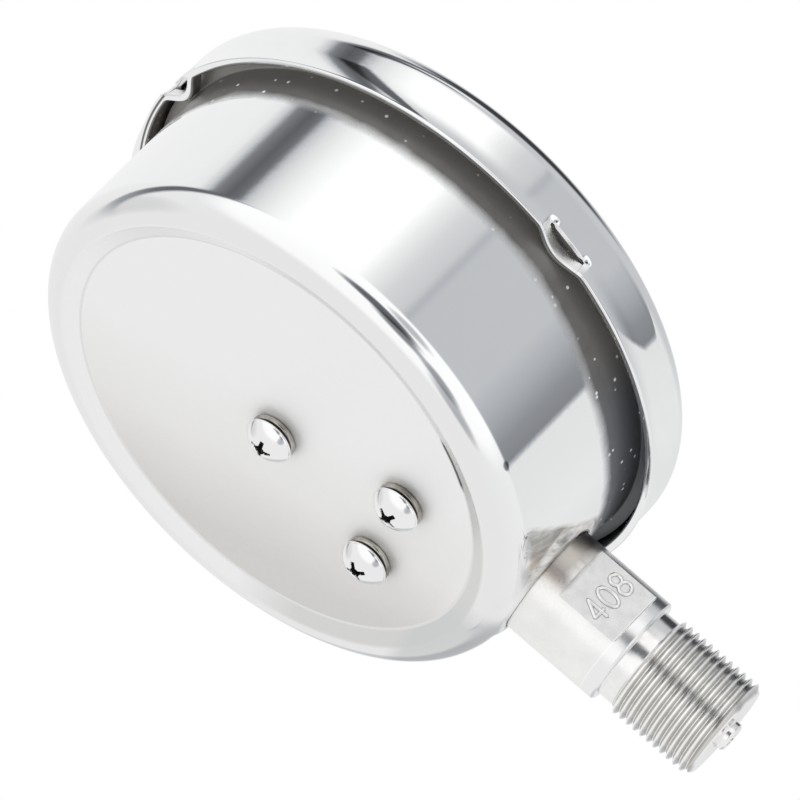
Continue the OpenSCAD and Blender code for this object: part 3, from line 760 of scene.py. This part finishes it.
def ring_wall(profile):
    """Points of the ring's wall, bent out over one stretch and pressed in at the tongues."""
    angles = [np.arange(0, 360, 0.75)]
    slit_ends = np.array([-SLIT_HALF - 0.02, -SLIT_HALF + 0.02, SLIT_HALF - 0.02, SLIT_HALF + 0.02])
    for centre in TONGUE_ANGLES:
        angles += [centre + np.arange(-7, 7.01, 0.2), centre + slit_ends]
    angles = np.unique(np.round(np.concatenate(angles) % 360, 4))
    offset = np.min([np.abs((angles - c + 180) % 360 - 180) for c in TONGUE_ANGLES], axis=0)
    r = profile[:, 0:1] + 0 * angles
    d = profile[:, 1:2] + 0 * angles

    bend_angle, bend_half, bend = 66.0, 22.0, 1.6
    bent = np.clip(1 - ((angles - bend_angle) / bend_half) ** 2, 0, 1) ** 2
    r = r + bend * bent * smoothstep(54.95, 55.25, r) * (1 - smoothstep(36.6, 39.5, d))

    in_skirt = r > SKIRT_FROM_R
    behind_slit = (offset < SLIT_HALF) & (d < SLIT_HIGH) & in_skirt
    slit_r = np.where(r > 54.3, skirt(SLIT_HIGH), SKIRT_INNER_R)
    d = np.where(behind_slit, SLIT_HIGH, d)
    fade = 1 - smoothstep(36.7, 38.2, d)
    pull = np.where(offset < SLIT_HALF, smoothstep(3.4, SLIT_HALF, offset), 1.0)
    r = np.where(behind_slit, slit_r, r) - press_depth(offset) * fade * pull * in_skirt
    return polar(r, np.radians(angles), d)


def bead_along(radii, depth, angles, thick):
    """A thin round bead at the given radii along a run of angles."""
    t = full_turn(8)[:, None]
    return polar(radii + thick * np.cos(t), angles, depth + thick * np.sin(t))


def add_tongues(shape, profile):
    """The strips of skirt that bow inward behind their slits, with rounded edges."""
    step, bevel, out = 0.19, 0.06, float(skirt(SLIT_LOW))
    rows = profile[(profile[:, 1] < SLIT_LOW - 0.05) & (profile[:, 0] > SKIRT_FROM_R)]
    start = [(out - bevel, SLIT_LOW), (out, SLIT_LOW - bevel)]
    strip = np.vstack([start, rows, [(SKIRT_INNER_R, SLIT_LOW)]])
    for centre in TONGUE_ANGLES:
        o = np.arange(-SLIT_HALF, SLIT_HALF + 0.01, step)
        a = np.radians(centre + o)
        shape.grid(polar(strip[:, 0:1] - press_depth(o), a, strip[:, 1:2]), wrap_rows=True)
        shape.grid(bead_along(54.02 - press_depth(o), SLIT_LOW, a, 0.13), wrap_rows=True)
        o = np.arange(-SLIT_HALF + 0.5, SLIT_HALF - 0.49, step)
        thick = 0.10 * np.cos(np.pi / 2 * (o / SLIT_HALF) ** 4)
        lip = bead_along(skirt(SLIT_HIGH) - 0.04 + 0 * o, SLIT_HIGH, np.radians(centre + o), thick)
        shape.grid(lip, wrap_rows=True)


def on_tongue(face):
    """Whether a face of the ring lies on the outward side of a tongue."""
    middle = face.center / MM
    out = Vector((middle.x, 0, middle.z - DIAL_Z))
    at_edge = middle.y > STEM_DEPTH - SLIT_HIGH - 0.2
    return out.length < SKIRT_R and at_edge and face.normal.dot(out.normalized()) > 0.5


def build_ring():
    """The deep ring, whose rear edge carries the pressed-in tongues."""
    shape = Shape()
    profile = ring_profile()
    shape.grid(ring_wall(profile), wrap_rows=True, wrap_cols=True)
    add_tongues(shape, profile)
    piece = put("ring_shell", shape, "ring_steel", "gauge", sharp=38)
    second_look(piece, "tongue_steel", on_tongue)
    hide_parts("bezel_ring")


# Stem


def add_thread(shape):
    """The right-hand helical thread between the neck and the bottom chamfer."""
    pitch, turns, columns, fillet = 1.5, 15, 168, 0.05
    high, low = THREAD_R, THREAD_ROOT_R
    tooth = [(0.0, high), (0.08, high), (0.14, high - fillet), (0.62, low + fillet), (0.69, low)]
    tooth += [(0.80, low), (0.87, low + fillet), (1.35, high - fillet), (1.41, high)]
    rows = np.array([(turn * pitch + down, r) for turn in range(turns) for down, r in tooth])
    a = full_turn(columns)
    z = 1.2 - rows[:, 0:1] + pitch * a / (2 * math.pi)
    run_in = 9.0 + np.clip((THREAD_TOP - z) / 0.55, 0, 1) * 1.0
    chamfer = 8.85 + np.clip((z - THREAD_LOW) / 1.15, 0, 1) * 1.15
    radius = np.minimum(np.minimum(rows[:, 1:2] + 0 * a, run_in), chamfer)
    faces = []
    for i in range(len(rows) - 1):
        for j in range(columns):
            ahead = (j + 1) % columns
            up = i if ahead else i - len(tooth)
            if up >= 0:
                right = up * columns + ahead
                faces.append((i * columns + j, right, right + columns, (i + 1) * columns + j))
    shape.add(polar(radius, a, np.clip(z, THREAD_LOW, THREAD_TOP), to_stem), faces)


def add_bar(shape):
    """The round bar above the collar, with its two wrench flats cut in."""
    bound = math.acos(FLAT_X / BAR_R)
    flat = np.linspace(-bound, bound, 40)[:-1]
    curved = np.linspace(bound, math.pi - bound, 60)[:-1]
    columns = np.concatenate([flat, curved, math.pi + flat, math.pi + curved])
    cut = [(4.9, 0.0), (5.0, 0.0), (5.04, 0.04), (5.16, 0.5), (5.34, 0.93), (5.46, 1.0)]
    cut += [(z, 1.0) for z in np.linspace(5.7, 17.5, 26)]
    cut += [(17.66, 1.0), (17.74, 0.85), (17.78, 0.5), (17.8, 0.04), (17.85, 0.0)]
    cut += [(20.0, 0.0), (22.0, 0.0), (23.2, 0.0)]
    z, share = np.array(cut).T[:, :, None]
    x = BAR_R * np.cos(columns)
    uncut = BAR_R + 0.01
    x = np.sign(x) * np.minimum(np.abs(x), uncut - (uncut - FLAT_X) * share)
    shape.grid(to_stem(x, BAR_R * np.sin(columns), z), wrap_cols=True)


def add_inner_socket(shape):
    """The part of the socket inside the case, taken from the frame's own node."""
    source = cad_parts["socket"]
    work = bmesh.new()
    work.from_mesh(source.data)
    everything = work.verts[:] + work.edges[:] + work.faces[:]
    cut = {"plane_co": (0, 0, 23.2 * MM), "plane_no": (0, 0, 1), "clear_inner": True}
    bmesh.ops.bisect_plane(work, geom=everything, dist=1e-7, **cut)
    mesh = bpy.data.meshes.new("upper_socket")
    work.to_mesh(mesh)
    work.free()
    points = np.array([v.co for v in mesh.vertices]) / MM
    shape.add(points, [tuple(p.vertices) for p in mesh.polygons])


def stroke(path, width, height, plane):
    """A raised stroke along a path on a plane, as a mesh with a rounded section."""
    sunk = -0.03
    ahead = np.gradient(path, axis=0)
    ahead /= np.linalg.norm(ahead, axis=1)[:, None]
    side = np.stack([-ahead[:, 1], ahead[:, 0]], axis=1)
    section = [(math.cos(t), math.sin(t)) for t in np.linspace(0, math.pi, 9)]
    pts = []
    for p, s in zip(path, side):
        pts.append([plane(*(p + s * c * width / 2), h * height + sunk) for c, h in section])
    start = plane(*(path[0] - ahead[0] * width / 2), sunk)
    end = plane(*(path[-1] + ahead[-1] * width / 2), sunk)
    return np.array([[start] * len(section)] + pts + [[end] * len(section)])


def bow(cx, cy, rx, ry, start=90.0, end=-270.0):
    """Part of an oval from angle start to angle end, in degrees."""
    a = np.radians(np.linspace(start, end, 33))
    return np.stack([cx + rx * np.cos(a), cy + ry * np.sin(a)], 1)


def bar(x0, y0, x1, y1):
    """A straight stroke."""
    return np.linspace((x0, y0), (x1, y1), 33)


def two():
    """The bow and the slant of a 2, drawn in one stroke."""
    top = bow(0.5, 0.72, 0.5, 0.28, 180, -45)
    return np.vstack([top, bar(*top[-1], 0, 0)[2:]])


# Strokes of plain numerals, with the width and the height as 1
NUMERALS = {
    "0": [bow(0.5, 0.5, 0.5, 0.5)],
    "1": [bar(0.55, 0, 0.55, 1), bar(0.55, 1, 0.25, 0.78)],
    "2": [two(), bar(0, 0, 1, 0)],
    "4": [bar(0.72, 0, 0.72, 1), bar(0.72, 1, 0, 0.3), bar(0, 0.3, 1, 0.3)],
    "6": [bow(0.5, 0.29, 0.5, 0.29), bow(0.5, 0.29, 0.5, 0.71, 50.4, 180)],
    "8": [bow(0.5, 0.75, 0.42, 0.25), bow(0.5, 0.26, 0.5, 0.26)],
}
NUMERAL_WIDTH = 0.58  # of the height


def add_numeral(shape, kind, x, y, height, width, relief, plane):
    """A numeral with its lower left corner at (x, y), raised from a plane."""
    for path in NUMERALS[kind]:
        placed = np.array([x, y]) + path * (NUMERAL_WIDTH * height, height)
        shape.grid(stroke(placed, width, relief, plane))


def build_socket():
    """Nose, thread, neck, collar and flatted bar, with a plain number on one flat."""
    shape = Shape()
    a = full_turn(168)
    collar = [(9.0, THREAD_TOP, 0), (9.0, 2.75, 0.25), (10.2, 2.75, 0.1)]
    collar += [(BAR_R, 3.1, 0.15), (BAR_R, 4.9, 0)]
    nose = [(8.85, THREAD_LOW, 0), (3.2, THREAD_LOW, 0.3), (2.8, -18.7, 0.2), (2.8, -19.6, 0.3)]
    nose += [(2.3, -20.0, 0.1), (1.52, -20.0, 0.05), (1.5, -19.8, 0), (1.5, -16.0, 0)]
    shape.grid(turned(rounded(collar), a, to_stem), wrap_cols=True)
    add_bar(shape)
    add_thread(shape)
    shape.grid(turned(rounded(nose), a, to_stem), wrap_cols=True)
    add_inner_socket(shape)

    def on_flat(u, v, height):
        return -FLAT_X - height, -u, v

    for k, kind in enumerate("408"):
        add_numeral(shape, kind, -4.9 + 3.6 * k, 9.2, 4.4, 0.80, 0.36, on_flat)
    piece = put("socket_body", shape, "stem_steel", "gauge", sharp=28)
    second_look(piece, "thread_steel", lambda face: face.center.z < 5.30 * MM)
    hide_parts("socket")


# Screws and washers

# Place of each screw on the back, the turn of its cross and the place of its washer's gap
SCREWS = [(0.0, 0.0, 81.0, 10), (10.0, -25.2, 50.0, 40), (-10.0, -25.2, 29.0, 330)]
UNDER_HEAD = 0.1


def recess_depth(u, v, turn):
    """Depth of the cross recess at (u, v) from the screw's axis."""
    centre, arm_fall, core_fall = 2.1, 0.65, 0.5
    c, s = math.cos(math.radians(turn)), math.sin(math.radians(turn))
    p, q = u * c + v * s, -u * s + v * c
    rho = np.hypot(u, v)
    deep = (1 - smoothstep(0.75, 0.95, rho)) * (centre - core_fall * rho)
    for along, across in ((np.abs(p), np.abs(q)), (np.abs(q), np.abs(p))):
        half = 0.36 - 0.08 * np.clip(along / 2.0, 0, 1)
        wall = 1 - smoothstep(half, half + 0.10, across)
        end = 1 - smoothstep(1.85, 2.05, along)
        deep = np.maximum(deep, wall * end * (centre - arm_fall * along))
    return deep


def around(cx, cy):
    """A way to place points whose x and y are measured from (cx, cy) on the dial frame."""
    return lambda x, y, depth: to_row(cx + x, cy + y, depth)


def build_screws():
    """Domed screws with cross recesses, each a dome that is pressed in along its cross."""
    head_r, head_h, rim_h, shank_r, shank_l = 4.7, 3.36, 0.72, 2.48, 7.6
    dome_h = head_h - rim_h
    dome_r = (head_r**2 + dome_h**2) / 2 / dome_h
    a = full_turn(192)
    rho = np.concatenate([np.linspace(0.02, 3.2, 56), np.linspace(3.25, head_r - 0.12, 14)])
    rho = rho[:, None]
    u, v = rho * np.cos(a), rho * np.sin(a)
    dome = head_h - (dome_r - np.sqrt(dome_r**2 - rho**2)) + 0 * a
    rim = dome[-1, 0]
    side = [(head_r - 0.12, rim - 0.02, 0), (head_r, rim - 0.14, 0.08), (head_r, 0.58, 0.05)]
    side += [(head_r - 0.45, 0.2, 0.1), (head_r - 0.6, 0.0, 0)]
    side += [(shank_r, 0.0, 0), (shank_r, -shank_l, 0.2), (0.02, -shank_l, 0)]
    shape = Shape()
    recess = set()
    for sx, sy, turn, _ in SCREWS:
        place = around(sx, sy)
        deep = recess_depth(u, v, turn)
        top = place(u, v, UNDER_HEAD - (dome - deep))
        recess.update(tuple(np.round(p, 4)) for p in top[deep > 0.25])
        edge = turned([(r, UNDER_HEAD - z) for r, z in rounded(side)], a, place)
        shape.grid(np.concatenate([top, edge]), wrap_cols=True)
    piece = put("back_screw_set", shape, "screw_steel", "gauge", sharp=50)
    low = [tuple(np.round(np.array(v.co) / MM, 4)) in recess for v in piece.data.vertices]
    groove_y = (STEM_DEPTH - UNDER_HEAD + 0.51) * MM

    def dark(face):
        """Whether a face lies in a recess or in the groove between head and washer."""
        deep_corners = sum(low[i] for i in face.vertices)
        return deep_corners >= len(face.vertices) - 1 or face.center.y < groove_y

    # Painted shade: near-black steel in the recesses and in the groove between head and washer
    second_look(piece, "recess_shade_steel", dark)
    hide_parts("back_screws")


def build_washers():
    """Split washers, their outer edges rounded off."""
    inner_r, outer_r, rear, front, half_gap = 2.65, 4.55, 0.1, 1.4, 5
    section = [(inner_r, rear, 0.1), (outer_r, rear, 0.62)]
    section += [(outer_r, front, 0.62), (inner_r, front, 0.1)]
    section = rounded(section, steps=8, closed=True)
    shape = Shape()
    for sx, sy, _, gap in SCREWS:
        shape.sweep(section, gap + half_gap, gap + 360 - half_gap, 120, around(sx, sy))
    piece = put("spring_washer_set", shape, "washer_steel", "gauge", sharp=40)
    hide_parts("spring_washers")


# Curved tube


def build_tube():
    """The flattened tube, swept from its free end by the tip to its fixed end."""
    tip_end, fixed_end, middle, half_flat, edge_r = -12, 255, 15.0, 4.5, 2.5
    section = arc(TUBE_R, middle + half_flat, edge_r, 0, 180, 12)
    section += arc(TUBE_R, middle - half_flat, edge_r, 180, 360, 12)
    shape = Shape()
    shape.sweep(section, tip_end, fixed_end, 178)
    piece = put("tube_coil", shape, "tube_steel", None)
    start, end = [tuple(polar(TUBE_R, math.radians(a), middle) * MM) for a in (fixed_end, tip_end)]
    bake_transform(piece)
    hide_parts("bourdon_tube")


# Dial


def build_dial_print():
    """Scale marks and numerals, printed on the dial plate."""
    zero, sweep, divisions, scale_r = 225, 270, 50, 42.0
    low, high = DIAL_FACE - 0.01, DIAL_FACE + 0.03
    shape = Shape()
    for k in range(divisions + 1):
        a = math.radians(zero - sweep * k / divisions)
        r0, w = (36.5, 0.55) if k % 5 == 0 else (39.2, 0.28)
        c, s = math.cos(a), math.sin(a)
        box = [(r0, -w), (scale_r, -w), (scale_r, w), (r0, w)]
        shape.prism([(r * c - o * s, r * s + o * c) for r, o in box], low, high)
    line = [(scale_r, low), (scale_r + 0.35, low), (scale_r + 0.35, high), (scale_r, high)]
    shape.sweep(line, zero - sweep, zero, 240)

    def on_dial(u, v, height):
        return tuple(to_row(u, v, DIAL_FACE + max(height, -0.01)))

    height, numeral_r, gap = 5.2, 30.5, 0.25
    for k, label in enumerate(["0", "2", "4", "6", "8", "10"]):
        a = math.radians(zero - sweep * k / 5)
        wide = (len(label) * NUMERAL_WIDTH + (len(label) - 1) * gap) * height
        cx, cy = numeral_r * math.cos(a) - wide / 2, numeral_r * math.sin(a) - height / 2
        for i, kind in enumerate(label):
            x = cx + i * (NUMERAL_WIDTH + gap) * height
            add_numeral(shape, kind, x, cy, height, 0.85, 0.05, on_dial)
    put("dial_print", shape, "dial_ink", "gauge")


FRAME_LOOKS = {
    "glass": ["window_glass"],
    "black_rubber": ["window_gasket", "fill_plug"],
    "fibre": ["foot_gasket", "socket_gasket"],
    "tube_steel": ["tube_tip"],
    "arbor_steel": ["sector_arbor", "pinion_spindle", "movement_screws"],
    "spring_alloy": ["hairspring"],
    "dial_white": ["dial_plate"],
    "black_metal": ["dial_screws", "stop_pin", "pointer"],
    "brass": [
        "restrictor_screw", "tip_pin", "link", "tail_pin", "sector_gear", "hairspring_collet",
        "hairspring_stud", "movement_rear_plate", "movement_front_plate", "movement_pillars",
        "dial_posts", "pointer_hub",
    ],
}  # fmt: skip
for look, names in FRAME_LOOKS.items():
    for name in names:
        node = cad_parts[name]
        node.data.materials.clear()
        node.data.materials.append(LOOKS[look])

build_case()
build_ring()
build_socket()
build_screws()
build_washers()
build_tube()
build_dial_print()


# Surroundings: a pale floor, a white tent with a few dark openings, and soft lamps

# Brightness of the tent before the dial, by the angle round it in degrees
FRONT_PANELS = [
    (4, 0.80), (16, 0.92), (80, 0.90), (88, 0.86), (92.5, 0.62), (96, 0.22), (103, 0.12),
    (108, 0.17), (111.5, 0.60), (116, 0.76), (124, 0.93), (136, 1.12), (165, 1.10), (172, 0.88),
    (180, 0.70), (189, 0.62), (192, 0.47), (195, 0.56), (232, 0.56), (244, 0.44), (256, 0.29),
    (265, 0.245), (267, 0.80), (308, 0.84), (330, 0.80), (352, 0.80),
]  # fmt: skip

# Openings elsewhere: direction, inner and outer radius in degrees, brightness and squeeze
OPENINGS = [
    ((-0.935, 0.30, -0.03), 6, 15, 0.13, 0.6),
    ((-0.83, 0.50, -0.20), 4, 15, 0.24),
    ((-0.66, 0.53, -0.54), 3, 15, 0.34),
    ((-0.40, 0.70, -0.61), 3, 17, 0.48),
    ((-0.95, -0.10, -0.27), 3, 14, 0.50),
    ((0.42, 0.38, 0.82), 4, 25, 0.84),
    ((0.955, -0.10, -0.28), 12, 23, 0.68),
]


class Tent(Graph):
    """The world's node tree, where x, y, z are the parts of a direction."""

    def __init__(self, tree):
        super().__init__(tree)
        tree.nodes.clear()
        self.direction = self.node("TexCoord").outputs["Generated"]
        self.x, self.y, self.z = self.node("SeparateXYZ", {0: self.direction}).outputs

    def soft(self, source, low, high, to_low=0.0, to_high=1.0):
        """A soft step from one value to another."""
        return self.span(source, low, high, to_low, to_high, "SMOOTHSTEP")

    def patch(self, centre, inner, outer, dark, squeeze=1.0):
        """Darkens a round patch, its radii in degrees; squeeze below 1 makes it longer in z."""
        scale = {0: self.direction, 1: (1, 1, squeeze)}
        scaled = self.node("VectorMath", scale, operation="MULTIPLY").outputs[0]
        unit = self.node("VectorMath", {0: scaled}, operation="NORMALIZE").outputs[0]
        low, high = math.cos(math.radians(outer)), math.cos(math.radians(inner))
        return self.soft(self.dot(unit, centre), low, high, 1.0, dark)

    def less(self, mask, share):
        """A factor that takes a share of the light away where the mask is 1."""
        return self.math("SUBTRACT", 1.0, self.product(mask, share))


def tent_front(t):
    """Light from before the dial: panels, a round opening and a dark band."""
    turn = t.math("DIVIDE", t.math("ARCTAN2", t.z, t.x), 2 * math.pi)
    turn = t.math("FRACT", t.math("ADD", turn, 1.0))
    light = t.colours(turn, *[(angle / 360, value) for angle, value in FRONT_PANELS])
    off_band = t.dot(t.direction, (0.9285, -0.3708, 0.0208))
    beside, low = t.soft(off_band, 0.08, -0.02), t.soft(t.z, 0.40, 0.15)
    near_axis = t.soft(t.y, -0.64, -0.86)
    middle = t.product(t.math("MAXIMUM", beside, low), near_axis)
    light = t.mix(middle, light, 0.60)
    light = t.mix(1.0, light, t.patch((0.10, -0.985, 0.12), 11, 24, 0.08), "MULTIPLY")
    width = t.soft(t.z, 0.82, 0.36, 0.135, 0.055)
    band = t.soft(t.math("DIVIDE", t.math("ABSOLUTE", off_band), width), 1.0, 0.45)
    band = t.product(band, t.soft(t.z, 0.30, 0.42), t.soft(t.y, -0.53, -0.56))
    return t.mix(1.0, light, t.less(band, 0.82), "MULTIPLY")


def tent_rest(t):
    """Light from the other sides: openings, and the shade of an arm across the top."""
    light = t.soft(t.x, -0.15, -0.45, 0.88, 1.06)
    for opening in OPENINGS:
        light = t.product(light, t.patch(*opening))
    off_arm = t.math("SUBTRACT", t.dot(t.direction, (-0.644, 0.7133, 0.2767)), 0.05)
    width = t.soft(t.x, 0.0, 0.5, 0.20, 0.13)
    arm = t.soft(t.math("DIVIDE", t.math("ABSOLUTE", off_arm), width), 1.0, 0.30)
    arm = t.product(arm, t.soft(t.x, 0.55, 0.10, 0.50, 0.84))
    arm = t.product(arm, t.soft(t.x, 0.68, 0.42), t.soft(t.z, 0.50, 0.62))
    return t.product(light, t.less(arm, 1.0))


def build_world():
    """The tent as polished steel mirrors it, an even sky for the rest, and white behind."""
    world = bpy.data.worlds.new("tent")
    bpy.context.scene.world = world
    world.use_nodes = True
    world.cycles.sampling_method = "NONE"
    tent = Tent(world.node_tree)
    light = tent.mix(tent.soft(tent.y, -0.51, -0.38), tent_front(tent), tent_rest(tent))
    tint = tent.mix(tent.soft(light, 0.35, 0.85), (0.965, 1.0, 1.06), 1.0)
    mirrored = tent.mix(1.0, light, tint, "MULTIPLY")

    def glow(colour, strength):
        return tent.node("Background", {"Color": colour, "Strength": strength}).outputs[0]

    rays = tent.node("LightPath").outputs
    clear = tent.math("MAXIMUM", rays["Is Camera Ray"], rays["Is Transmission Ray"])
    sky, shine, white = glow((0.95, 0.96, 1.0), 0.75), glow(mirrored, 1.0), glow(1.0, 1.0)
    lit = tent.node("MixShader", {0: rays["Is Glossy Ray"], 1: sky, 2: shine}).outputs[0]
    seen = tent.node("MixShader", {0: clear, 1: lit, 2: white}).outputs[0]
    tent.node("OutputWorld", {"Surface": seen})


def build_floor():
    """A pale floor that looks plain white to the camera."""
    half, z = 4000.0, -450.0
    corners = [(-half, -half, z), (half, -half, z), (half, half, z), (-half, half, z)]
    floor = mesh_object("floor", corners, [(0, 1, 2, 3)])
    m = Paint("floor_pale")
    m.set("Base Color", m.tones(m.noise(3, 2), 0.84, 0.88))
    m.set("Roughness", 0.9)
    seen = m.node("LightPath").outputs["Is Camera Ray"]
    glow = m.node("Emission", {"Color": 1.0}).outputs[0]
    shaders = {0: seen, 1: m.shader.outputs["BSDF"], 2: glow}
    mixed = m.node("MixShader", shaders).outputs[0]
    m.feed(m.tree.nodes["Material Output"].inputs["Surface"], mixed)
    floor.data.materials.append(m.material)
    floor.visible_glossy = False


def build_lamps():
    """Soft square lamps round the gauge, their places and sizes in metres."""
    aim = Vector((0, 0, 0.06))
    for name, place, size, power in (
        ("key", (-0.9, -0.6, 1.2), 0.9, 9.0),
        ("fill", (1.1, -0.9, 0.5), 1.0, 5.0),
        ("back", (-0.2, 1.3, 0.6), 1.0, 5.0),
    ):
        data = bpy.data.lights.new(name, "AREA")
        data.size, data.energy = size, power
        lamp = link_to_scene(name, data)
        lamp.location = place
        lamp.rotation_mode = "QUATERNION"
        lamp.rotation_quaternion = (aim - Vector(place)).to_track_quat("-Z", "Y")
        lamp.visible_glossy = False


def build_camera():
    """A long lens behind and below the gauge."""
    right = Vector((-0.2700, -0.6009, -0.7523)).normalized()
    down = Vector((0.4635, 0.6037, -0.6486))
    down = (down - right * down.dot(right)).normalized()
    forward = right.cross(down)
    width_px, px_per_mm, rim_px = 800, 5.8385, (270.64, 438.84)
    rim_centre = Vector((0.0, STEM_DEPTH, DIAL_Z))
    across, along = [(width_px / 2 - place) / px_per_mm for place in rim_px]
    target = rim_centre + right * across + down * along
    distance, sensor = 2.4, 36.0
    data = bpy.data.cameras.new("camera")
    data.sensor_width = sensor
    data.lens = sensor * distance / (width_px / px_per_mm * MM)
    data.clip_start, data.clip_end = 0.05, 50
    camera = link_to_scene("camera", data)
    turn = Matrix((right, -down, -forward)).transposed()
    camera.matrix_world = Matrix.Translation(target * MM - forward * distance) @ turn.to_4x4()
    bpy.context.scene.camera = camera


build_world()
build_floor()
build_lamps()
build_camera()
bpy.context.scene.view_settings.view_transform = "Standard"
